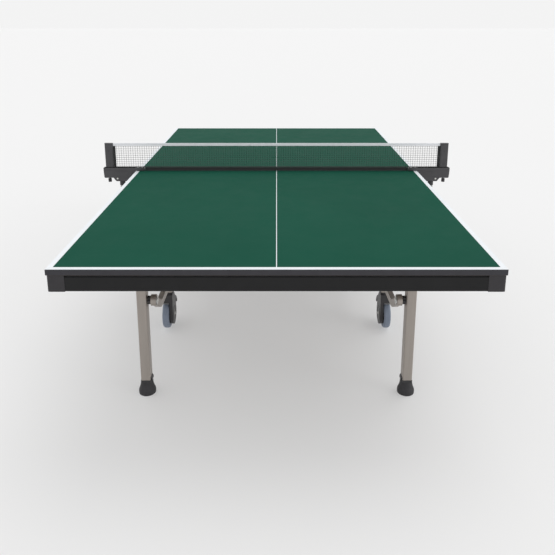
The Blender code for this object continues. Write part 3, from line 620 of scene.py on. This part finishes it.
def dress_stays():
    knee, heel = STAY_KNEES
    towards = (Vector(knee) - Vector(STAY_OUTER)).normalized()
    begin = tuple(Vector(STAY_OUTER) + towards * 0.0170)
    back = (Vector(heel) - Vector(STAY_INNER)).normalized()
    finish = tuple(Vector(STAY_INNER) + back * 0.0085)
    line = [begin] + bend(STAY_OUTER, knee, heel, 0.034, 10)
    line += bend(knee, heel, STAY_INNER, 0.045, 10) + [finish]
    outline, within = strip(line, STAY_WIDTH), strip(line, STAY_WIDTH - 2 * STAY_WALL)
    count = len(line)
    flanges = [outline[:count] + within[:count][::-1], outline[count:] + within[count:][::-1]]
    flanges += [wall_band(STAY_OUTER, 0.0235, knee, 37), wall_band(STAY_INNER, 0.0170, heel, 60)]

    def stay(form, sign):
        web, floor = sign * STAY_WEB_X, sign * (STAY_WEB_X + STAY_WALL)
        form.prism(outline, "X", web, floor, 0.0009, 2)
        eye(form, STAY_OUTER, 0.0150, 0.0235, web, floor)
        eye(form, STAY_INNER, 0.0066, 0.0170, web, floor)
        for flange in flanges:
            form.prism(flange, "X", web + sign * 0.0006, sign * STAY_RIM_X, 0.0004, 1)

    def bush(form, sign):
        x = sign * (STAY_WEB_X + STAY_WALL / 2)
        eye(form, STAY_INNER, 0.0062, 0.0098, x - 0.0016, x + 0.0016, 28)
        eye(form, STAY_OUTER, 0.0148, 0.0168, x - 0.0015, x + 0.0015, 36)

    def knob(form, sign):
        lobes, points_per_lobe = 6, 8
        outer, inner = 0.5333, 0.5207
        y, z = STAY_OUTER
        shape = []
        for i in range(lobes * points_per_lobe):
            angle = 2 * math.pi * i / (lobes * points_per_lobe)
            radius = 0.0162 + 0.0014 * math.cos(lobes * angle)
            shape.append((y + radius * math.cos(angle), z + radius * math.sin(angle)))
        form.prism(shape, "X", sign * outer, sign * inner, 0.0022, 3)
        form.pin(STAY_OUTER, 0.0092, sign * (inner + 0.001), sign * (STAY_WEB_X + 0.0035))

    def plunger(form, sign):
        form.pin(STAY_OUTER, 0.0059, sign * 0.5435, sign * (STAY_WEB_X - 0.0042))
        form.pin(STAY_OUTER, 0.0188, sign * (STAY_WEB_X - 0.0017), sign * (STAY_WEB_X - 0.0032))
        form.bolt(along_x(sign * (STAY_WEB_X - 0.0032), STAY_OUTER, -sign), 0.0105, 0.0032, False)

    put_corners("stay", stay, "champagne", "stays_{end}", "stay")
    put_corners("stay_bushes", bush, "plastic", "stays_{end}")
    put_corners("lock_knob", knob, "plastic", "lock_knob_{end}_{side}", "lock_knob")
    put_corners("lock_plunger", plunger, "zinc", "lock_knob_{end}_{side}")


# ---------------------------------------------------------------- carriage and casters
def dress_carriage():
    def post(form, sign):
        form.hollow(*tube_loops((sign * POST_X, POST_Y), 0.040, 0.050, 0.0045), "Z", 0.2155, 0.6690)
        y, z = FOLD_AXIS
        lug = [(POST_Y - 0.020, 0.597), (POST_Y + 0.023, 0.597)] + arc((y, z), 0.0095, -40, 120, 14)
        lug += [(POST_Y - 0.020, 0.668)]
        form.prism(lug, "X", sign * 0.558, sign * 0.568, 0.0010, 2)
        sy, sz = STAY_INNER
        ear = [(POST_Y - 0.020, sz - 0.035), (POST_Y + 0.023, sz - 0.035)]
        ear += arc((sy, sz), 0.014, -60, 60, 12)
        ear += [(POST_Y + 0.023, sz + 0.035), (POST_Y - 0.020, sz + 0.035)]
        form.prism(ear, "X", sign * 0.522, sign * 0.531, 0.0010, 2)

    def welds(form, sign):
        x, y = sign * 0.5680, POST_Y + 0.0245
        form.tube([(x, y, 0.599), (x, y, 0.664)], 0.0016, 8)
        x = sign * 0.5296
        for z in (STAY_INNER[1] - 0.0350, STAY_INNER[1] + 0.0350):
            form.tube([(x, POST_Y - 0.019, z), (x, POST_Y + 0.022, z)], 0.0016, 8)

    def pins(form, sign):
        form.pin(FOLD_AXIS, 0.0059, sign * 0.564, sign * 0.6100)
        form.pin(FOLD_AXIS, 0.0092, sign * 0.5705, sign * 0.5835)
        form.bolt(along_x(sign * 0.558, FOLD_AXIS, -sign), 0.0088, 0.0050, False)
        form.pin(STAY_INNER, 0.0059, sign * 0.523, sign * (STAY_WEB_X - 0.0035))
        form.pin(STAY_INNER, 0.0092, sign * 0.5225, sign * (STAY_WEB_X + 0.0032))
        form.pin(STAY_INNER, 0.0112, sign * (STAY_WEB_X - 0.0004), sign * (STAY_WEB_X - 0.0016))
        form.bolt(along_x(sign * (STAY_WEB_X - 0.0016), STAY_INNER, -sign), 0.0098, 0.0034)

    def cap(form, sign):
        form.prism(rounded((sign * POST_X, POST_Y), 0.0396, 0.0496, 0.0045), "Z", 0.6670, 0.6735, 0.0016, 3)

    def socket(form, sign):
        form.prism(rounded((sign * POST_X, POST_Y), 0.0356, 0.0456, 0.0030), "Z", 0.2150, 0.2230, 0.0006, 1)

    def side_rail(form, sign):
        form.hollow(*tube_loops((sign * POST_X, RAIL_Z), 0.030, 0.040, 0.004), "Y", -0.3227, 0.3227)

    def rail_plates(form, sign):
        for y in (-0.3228, 0.3228):
            facing = -1 if y > 0 else 1
            inwards = facing * 0.003
            form.prism(rounded((sign * POST_X, RAIL_Z), 0.038, 0.050, 0.004), "Y", y, y + inwards, 0.0008, 2)
            for dz in (-0.0215, 0.0215):
                form.bolt(along_y((sign * POST_X, y + inwards, RAIL_Z + dz), facing), 0.0034, 0.0022)
        form.prism(rounded((0, RAIL_Z), 0.052, 0.052, 0.004), "X", sign * 0.5318, sign * 0.5348, 0.0008, 2)
        for y in (-0.0215, 0.0215):
            for dz in (-0.0215, 0.0215):
                form.bolt(along_x(sign * 0.5318, (y, RAIL_Z + dz), -sign), 0.0030, 0.0020)

    put_corners("post", post, "champagne", "carriage", "post")
    put_corners("post_welds", welds, "champagne", "carriage")
    put_corners("post_pins", pins, "zinc", "carriage")
    put_corners("post_cap", cap, "plastic", "carriage")
    put_corners("post_socket", socket, "plastic", "carriage")
    put_sides("side_rail", side_rail, "champagne_long", "carriage", "side_rail")
    put_sides("rail_plates", rail_plates, "champagne_long", "carriage")
    cross = Form().hollow(*tube_loops((0, RAIL_Z), 0.040, 0.040, 0.004), "X", -0.5346, 0.5346)
    put("cross_tube_piece", cross.finished("cross_tube_piece"), "champagne_long", "carriage", ["cross_tube"])


def dress_casters():
    def housing(form, sign):
        front, top = POST_Y - 0.0238, 0.2038
        crown = [(front, 0.1547)] + arc((front + 0.011, top - 0.011), 0.011, 180, 90, 8)
        crown += [(POST_Y + 0.014, top), (POST_Y + 0.020, top - 0.0012)]
        crown += [(AXLE[0] + 0.008, 0.1878), (AXLE[0] + 0.012, 0.1842)]
        crown += arc(AXLE, 0.0917, 72, 22, 20) + arc(AXLE, 0.0793, 22, 93, 26)
        form.prism(crown, "X", sign * 0.5294, sign * 0.5848, 0.0020, 3)
        arm = arc(AXLE, 0.0548, 190, 370, 30)
        arm += [(AXLE[0] + 0.046, 0.140), (AXLE[0] + 0.020, 0.168), (-0.3678, 0.168)]
        form.prism(arm, "X", sign * 0.5302, sign * 0.5463, 0.0028, 3)
        rib = arc(AXLE, 0.0880, 66, 28, 14) + arc(AXLE, 0.0840, 28, 66, 14)
        form.prism(rib, "X", sign * 0.5844, sign * 0.5858, 0.0004, 1)
        inset = [(front + 0.006, 0.1610), (front + 0.006, top - 0.010), (front + 0.012, top - 0.0055)]
        inset += [(POST_Y + 0.014, top - 0.0055), (AXLE[0] - 0.004, 0.1800), (AXLE[0] - 0.004, 0.1610)]
        form.prism(inset, "X", sign * 0.5844, sign * 0.5856, 0.0004, 1)
        place = Matrix.Translation((sign * POST_X, POST_Y, 0))
        neck = [(0, 0.2147), (0.0158, 0.2147), (0.0165, 0.2138), (0.0170, 0.2075), (0.0183, 0.2058)]
        neck += [(0.0186, 0.2030), (0.0186, 0.1990), (0, 0.1990)]
        form.lathe(neck, place, 40)

    def disc(form, sign):
        ring = [(0, 0.0012), (0.0300, 0.0012), (0.0320, 0.0022), (0.0400, 0.0022), (0.0425, 0.0006)]
        ring += [(0.0425, -0.001), (0, -0.001)]
        form.lathe(ring, along_x(sign * 0.5305, AXLE, -sign), 48)

    def brake(form, sign):
        y, z = AXLE
        pedal = arc((y + 0.003, z), 0.0960, 6, 38, 10) + arc((y + 0.001, z), 0.0912, 38, 6, 10)
        form.prism(pedal, "X", sign * 0.5480, sign * 0.5840, 0.0012, 2)
        for turn in (12, 18, 24):
            middle = (y + 0.003, z)
            grip = arc(middle, 0.0966, turn, turn + 2, 2) + arc(middle, 0.0952, turn + 2, turn, 2)
            form.prism(grip, "X", sign * 0.5500, sign * 0.5820, 0.0003, 1)

    def shoe(form, sign):
        pad = arc(AXLE, 0.0768, 97, 121, 12) + [(POST_Y - 0.0145, 0.1560), (AXLE[0] - 0.0110, 0.1560)]
        form.prism(pad, "X", sign * 0.5515, sign * 0.5805, 0.0010, 2)

    def metal(form, sign):
        form.pin(AXLE, 0.0059, sign * 0.5430, sign * 0.5850)
        form.bolt(along_x(sign * 0.5842, AXLE, sign), 0.0108, 0.0046)
        form.bolt(along_x(sign * 0.5300, AXLE, -sign), 0.0085, 0.0034)
        place = Matrix.Translation((sign * POST_X, POST_Y, 0))
        washer = [(0, 0.2150), (0.0172, 0.2150), (0.0178, 0.2142), (0.0172, 0.2130), (0, 0.2130)]
        form.lathe(washer, place, 32)

    def tyre(form, sign):
        place = along_x(sign * WHEEL_X, AXLE)
        half, flat, shoulder = 0.0170, 0.0660, 0.0085
        outer = [(0.0560, half - 0.0012), (0.0600, half), (flat, half)]
        for step in (15, 30, 45, 60, 75):
            angle = math.radians(step)
            outer.append((flat + shoulder * math.sin(angle), half - shoulder + shoulder * math.cos(angle)))
        outer += [(WHEEL_RADIUS - 0.0002, half - 0.0095), (WHEEL_RADIUS, half - 0.0120)]
        profile = outer + [(WHEEL_RADIUS, 0.0)] + [(r, -h) for r, h in reversed(outer)]
        profile += [(0.0545, -0.0120), (0.0545, 0.0120)]
        form.lathe(profile, place, 72, closed=True)

    def hub(form, sign):
        place = along_x(sign * WHEEL_X, AXLE)
        rim = [(0.0490, 0.0135), (0.0500, 0.0150), (0.0550, 0.0150), (0.0555, 0.0140), (0.0555, -0.0140)]
        rim += [(0.0550, -0.0150), (0.0500, -0.0150), (0.0490, -0.0135)]
        form.lathe(rim, place, 72, closed=True)
        boss = [(0.0066, 0.0155), (0.0140, 0.0155), (0.0150, 0.0145), (0.0150, -0.0145), (0.0140, -0.0155)]
        boss += [(0.0066, -0.0155)]
        form.lathe(boss, place, 36, closed=True)
        y, z = AXLE
        for k in range(6):
            angle = math.radians(60 * k + 30)
            along = Vector((math.cos(angle), math.sin(angle)))
            across = Vector((-math.sin(angle), math.cos(angle)))
            base = Vector((y, z))
            corners = [base + along * 0.0142 + across * 0.0070, base + along * 0.0495 + across * 0.0050]
            corners += [base + along * 0.0495 - across * 0.0050, base + along * 0.0142 - across * 0.0070]
            outline = [tuple(c) for c in corners]
            form.prism(outline, "X", sign * WHEEL_X - 0.0105, sign * WHEEL_X + 0.0105, 0.0018, 2)

    put_corners("caster_housing", housing, "plastic", "caster_{end}_{side}", "caster_housing")
    put_corners("caster_disc", disc, "plastic", "caster_{end}_{side}")
    put_corners("caster_brake", brake, "plastic", "caster_{end}_{side}")
    put_corners("caster_shoe", shoe, "support", "caster_{end}_{side}")
    put_corners("caster_axle", metal, "zinc", "caster_{end}_{side}")
    put_corners("caster_tyre", tyre, "tyre", "wheel_{end}_{side}", "caster_wheel")
    put_corners("caster_hub", hub, "plastic", "wheel_{end}_{side}")


# ---------------------------------------------------------------- net
def dress_net_sides():
    def support(form, sign):
        low = RAIL_Z + 0.0203
        route = [(POST_X, low), (POST_X, 0.36)]
        route += bend((POST_X, low), (POST_X, 0.480), (SUPPORT_X, 0.560), 0.065, 12)
        route += bend((POST_X, 0.480), (SUPPORT_X, 0.560), (SUPPORT_X, 0.70), 0.065, 12)
        route.append((SUPPORT_X, 0.7026))
        form.tube([(sign * x, 0, z) for x, z in route], 0.0123, 24)
        form.lathe([(0, 0.0030), (0.0225, 0.0030), (0.0235, 0.0020), (0.0235, 0), (0, 0)],
                   Matrix.Translation((sign * POST_X, 0, low)), 40)

    def clip(form, sign):
        place = Matrix.Translation((sign * SUPPORT_X, 0, 0))
        sleeve = [(0, 0.7030), (0.0142, 0.7030), (0.0150, 0.7020), (0.0150, 0.6820), (0.0140, 0.6808)]
        sleeve.append((0, 0.6808))
        form.lathe(sleeve, place, 36)

    def bracket(form, sign):
        body = [(0.7660, 0.7650), (0.7660, 0.7270)] + arc((0.795, 0.7105), 0.0072, 200, 270, 5)
        body += [(0.868, 0.7033)] + arc((0.868, 0.7105), 0.0072, 280, 320, 4) + [(0.8865, 0.7225)]
        body += arc((0.929, 0.7285), 0.0065, 270, 340, 5) + [(0.9375, 0.7590)]
        body += arc((0.9320, 0.7735), 0.0055, 0, 90, 5) + [(0.7660, 0.7790)]
        form.prism([(sign * x, z) for x, z in body], "Y", -0.0105, 0.0105, 0.0022, 3)
        bar = [(0.7165, 0.7646), (0.9360, 0.7646), (0.9372, 0.7658), (0.9372, 0.7778), (0.9360, 0.7790)]
        bar += [(0.7200, 0.7790), (0.7150, 0.7740), (0.7145, 0.7666)]
        form.prism([(sign * x, z) for x, z in bar], "Y", -0.0120, 0.0120, 0.0015, 2)
        panel = [(0.778, 0.7330), (0.872, 0.7330), (0.880, 0.7420), (0.880, 0.7560), (0.778, 0.7560)]
        for y in (-0.0105, 0.0105):
            rib = [(sign * x, z) for x, z in panel]
            form.prism(rib, "Y", y, y * 1.14, 0.0006, 1)

    def fittings(form, sign):
        for x in (0.7900, 0.8640):
            form.bolt(along_y((sign * x, -0.0105, 0.7180), -1), 0.0052, 0.0024)
            form.bolt(along_y((sign * x, 0.0105, 0.7180), 1), 0.0052, 0.0024)
        for x in (0.730, 0.752):
            form.bolt(along_z((sign * x, 0, 0.7788)), 0.0046, 0.0020)
        form.lathe([(0, 0.7252), (0.0062, 0.7252), (0.0062, 0.7205), (0, 0.7205)],
                   Matrix.Translation((sign * SCREW_X, 0, 0)), 24)

    def pad(form, sign):
        form.box((sign * 0.7160, -0.0110, 0.7612), (sign * 0.7600, 0.0110, 0.7650), 0.0010, 2)
        form.box((sign * 0.7634, -0.0095, 0.7390), (sign * 0.7664, 0.0095, 0.7580), 0.0008, 2)

    def post(form, sign):
        low, high = (sign * 0.8812, -0.0080, BAR_TOP + 0.0003), (sign * 0.9248, 0.0080, NET_TOP - 0.0035)
        form.box(low, high, 0.0042, 4)
        cap = rounded((sign * NET_POST_X, 0), 0.0440, 0.0164, 0.0042)
        form.prism(cap, "Z", NET_TOP - 0.0050, NET_TOP, 0.0016, 3)
        for y in (-0.0080, 0.0080):
            form.box((sign * 0.8895, y - 0.0004, 0.7900), (sign * 0.9165, y + 0.0004, 0.8960), 0.0003, 1)

    def post_hooks(form, sign):
        for z in (0.8000, 0.8720):
            for y in (-0.0084, 0.0084):
                direction = 1 if y > 0 else -1
                form.bolt(along_y((sign * NET_POST_X, y, z), direction), 0.0040, 0.0018)

    def screw(form, sign):
        place = Matrix.Translation((sign * SCREW_X, 0, 0))
        form.lathe([(0, 0.7213), (0.0046, 0.7213), (0.0050, 0.7175), (0, 0.7175)], place, 24)
        outline = []
        for i in range(72):
            angle = 2 * math.pi * i / 72
            radius = 0.0087 + 0.0004 * math.cos(18 * angle)
            outline.append((sign * SCREW_X + radius * math.cos(angle), radius * math.sin(angle)))
        form.prism(outline, "Z", 0.6990, 0.7172, 0.0007, 1)

    put_sides("net_support", support, "support", "carriage", "net_support")
    put_sides("net_support_sleeve", clip, "plastic", "carriage")
    put_sides("net_bracket", bracket, "net_metal", "carriage", "net_bracket")
    put_sides("net_bracket_fittings", fittings, "zinc", "carriage")
    put_sides("net_bracket_pads", pad, "rubber", "carriage")
    put_sides("net_post", post, "net_metal", "carriage", "net_post")
    put_sides("net_post_screws", post_hooks, "net_metal", "carriage")
    put_sides("net_screw", screw, "plastic", "net_screw_{side}", "net_screw")


def dress_net():
    mesh_low, mesh_high = 0.7800, NET_TOP - 0.0135
    step = 0.0125
    count = int(2 * NET_REACH / step)
    cords = Form()
    r = 0.00055
    for k in range(count + 1):
        x = -count * step / 2 + k * step
        sway = 0.0002 * noise.noise(Vector((x * 40, 0, 0)))
        cords.box((x - r + sway, -r, mesh_low - 0.002), (x + r + sway, r, mesh_high + 0.002), 0)
    rows = 10
    for k in range(rows):
        z = mesh_low + (k + 0.5) * (mesh_high - mesh_low) / rows
        cords.box((-NET_REACH, -r, z - r), (NET_REACH, r, z + r), 0)
    netting = put("net_cords", cords.finished("net_cords"), "cord", "carriage", ["net"])

    tape = Form()
    outer, inner, crown, hem = 0.0017, 0.0012, NET_TOP - 0.0017, NET_TOP - TAPE_DEPTH
    outline = [(-outer, hem), (-outer, crown - 0.0001)] + arc((0, crown), outer, 170, 10, 8)
    outline += [(outer, crown - 0.0001), (outer, hem), (inner, hem)]
    outline += arc((0, crown), inner, 10, 170, 8) + [(-inner, hem)]
    tape.prism(outline, "X", -NET_REACH, NET_REACH)
    top_tape = put("net_top_tape", tape.finished("net_top_tape", 50), "tape", "carriage")
    stitches = Form()
    pitch = 0.0066
    number = int(2 * (NET_REACH - 0.006) / pitch)
    for k in range(number):
        x = -number * pitch / 2 + k * pitch
        for y in (-0.00175, 0.00175):
            stitches.box((x, y - 0.0002, NET_TOP - 0.0133), (x + 0.0040, y + 0.0002, NET_TOP - 0.0128), 0)
    put("net_tape_stitches", stitches.finished("net_tape_stitches"), "tape", "carriage")

    low = Form()
    for z_low, z_high, half in ((0.7612, 0.7665, 0.712), (0.7735, 0.7785, 0.712)):
        low.box((-half, -0.0012, z_low), (half, 0.0012, z_high), 0.0004, 1)
    low.box((-0.712, -0.0006, 0.7660), (0.712, 0.0006, 0.7740), 0)
    low.box((-NET_REACH, -0.0012, 0.7797), (NET_REACH, 0.0012, 0.7830), 0.0004, 1)
    for k in range(114):
        x = -0.709 + k * 0.01255
        low.box((x - r, -r, 0.7780), (x + r, r, 0.7805), 0)
    put("net_bottom_tape", low.finished("net_bottom_tape"), "cord", "carriage")
    sleeves = []
    for side, sign in SIGN.items():
        low = (sign * (NET_REACH - 0.012), -0.0014, 0.7800)
        high = (sign * NET_REACH, 0.0014, NET_TOP - TAPE_DEPTH)
        sleeve = Form().box(low, high, 0.0006, 2)
        sleeves.append(put(f"net_sleeve_{side}", sleeve.finished(f"net_sleeve_{side}"), "cord", "carriage"))
    return netting, top_tape, sleeves


# ---------------------------------------------------------------- room, light and camera
def pale(name, colour, roughness):
    made = bpy.data.materials.new(name)
    made.use_nodes = True
    shader = made.node_tree.nodes["Principled BSDF"]
    shader.inputs["Base Color"].default_value = (*colour, 1)
    shader.inputs["Roughness"].default_value = roughness
    shader.inputs["Specular IOR Level"].default_value = 0.15
    return made


def set_the_room():
    floor_mesh = bpy.data.meshes.new("floor")
    size = 120.0
    corners = [(-size, -size, 0), (size, -size, 0), (size, size, 0), (-size, size, 0)]
    floor_mesh.from_pydata(corners, [], [(0, 1, 2, 3)])
    floor = bpy.data.objects.new("floor", floor_mesh)
    lit = pale("floor_lit_white", (0.46, 0.46, 0.46), 0.95)
    glow = lit.node_tree.nodes["Principled BSDF"]
    glow.inputs["Emission Color"].default_value = (1.0, 1.0, 1.0, 1)
    glow.inputs["Emission Strength"].default_value = 0.35
    floor_mesh.materials.append(lit)
    floor.location = (0, 0, -0.0005)
    bpy.context.scene.collection.objects.link(floor)

    world = bpy.data.worlds.new("studio")
    world.use_nodes = True
    background = world.node_tree.nodes["Background"]
    background.inputs["Color"].default_value = (1.0, 1.0, 1.0, 1)
    background.inputs["Strength"].default_value = 0.90
    bpy.context.scene.world = world

    for name, towards, angle, power in (
        ("overhead", (0.24, 0.30, 0.92), 50, 0.84),
        ("side", (0.85, -0.40, 0.34), 30, 0.45),
    ):
        sun = bpy.data.lights.new(name, "SUN")
        sun.angle = math.radians(angle)
        sun.energy = power
        obj = bpy.data.objects.new(name, sun)
        obj.rotation_euler = (-Vector(towards)).to_track_quat("-Z", "Y").to_euler()
        bpy.context.scene.collection.objects.link(obj)


def set_the_camera():
    lens = bpy.data.cameras.new("camera")
    lens.sensor_width = 36
    lens.lens = 39.99
    lens.shift_x = 0.0017
    lens.shift_y = -0.187
    lens.dof.use_dof = False
    camera = bpy.data.objects.new("camera", lens)
    camera.location = (0, -3.2575, 1.5549)
    camera.rotation_euler = (math.radians(90 - 14), 0, 0)
    bpy.context.scene.collection.objects.link(camera)
    bpy.context.scene.camera = camera
    bpy.context.scene.view_settings.view_transform = "Standard"


dress_boards()
dress_aprons()
dress_rails()
dress_legs()
dress_stays()
dress_carriage()
dress_casters()
dress_net_sides()
netting, top_tape, sleeves = dress_net()
set_the_room()
set_the_camera()
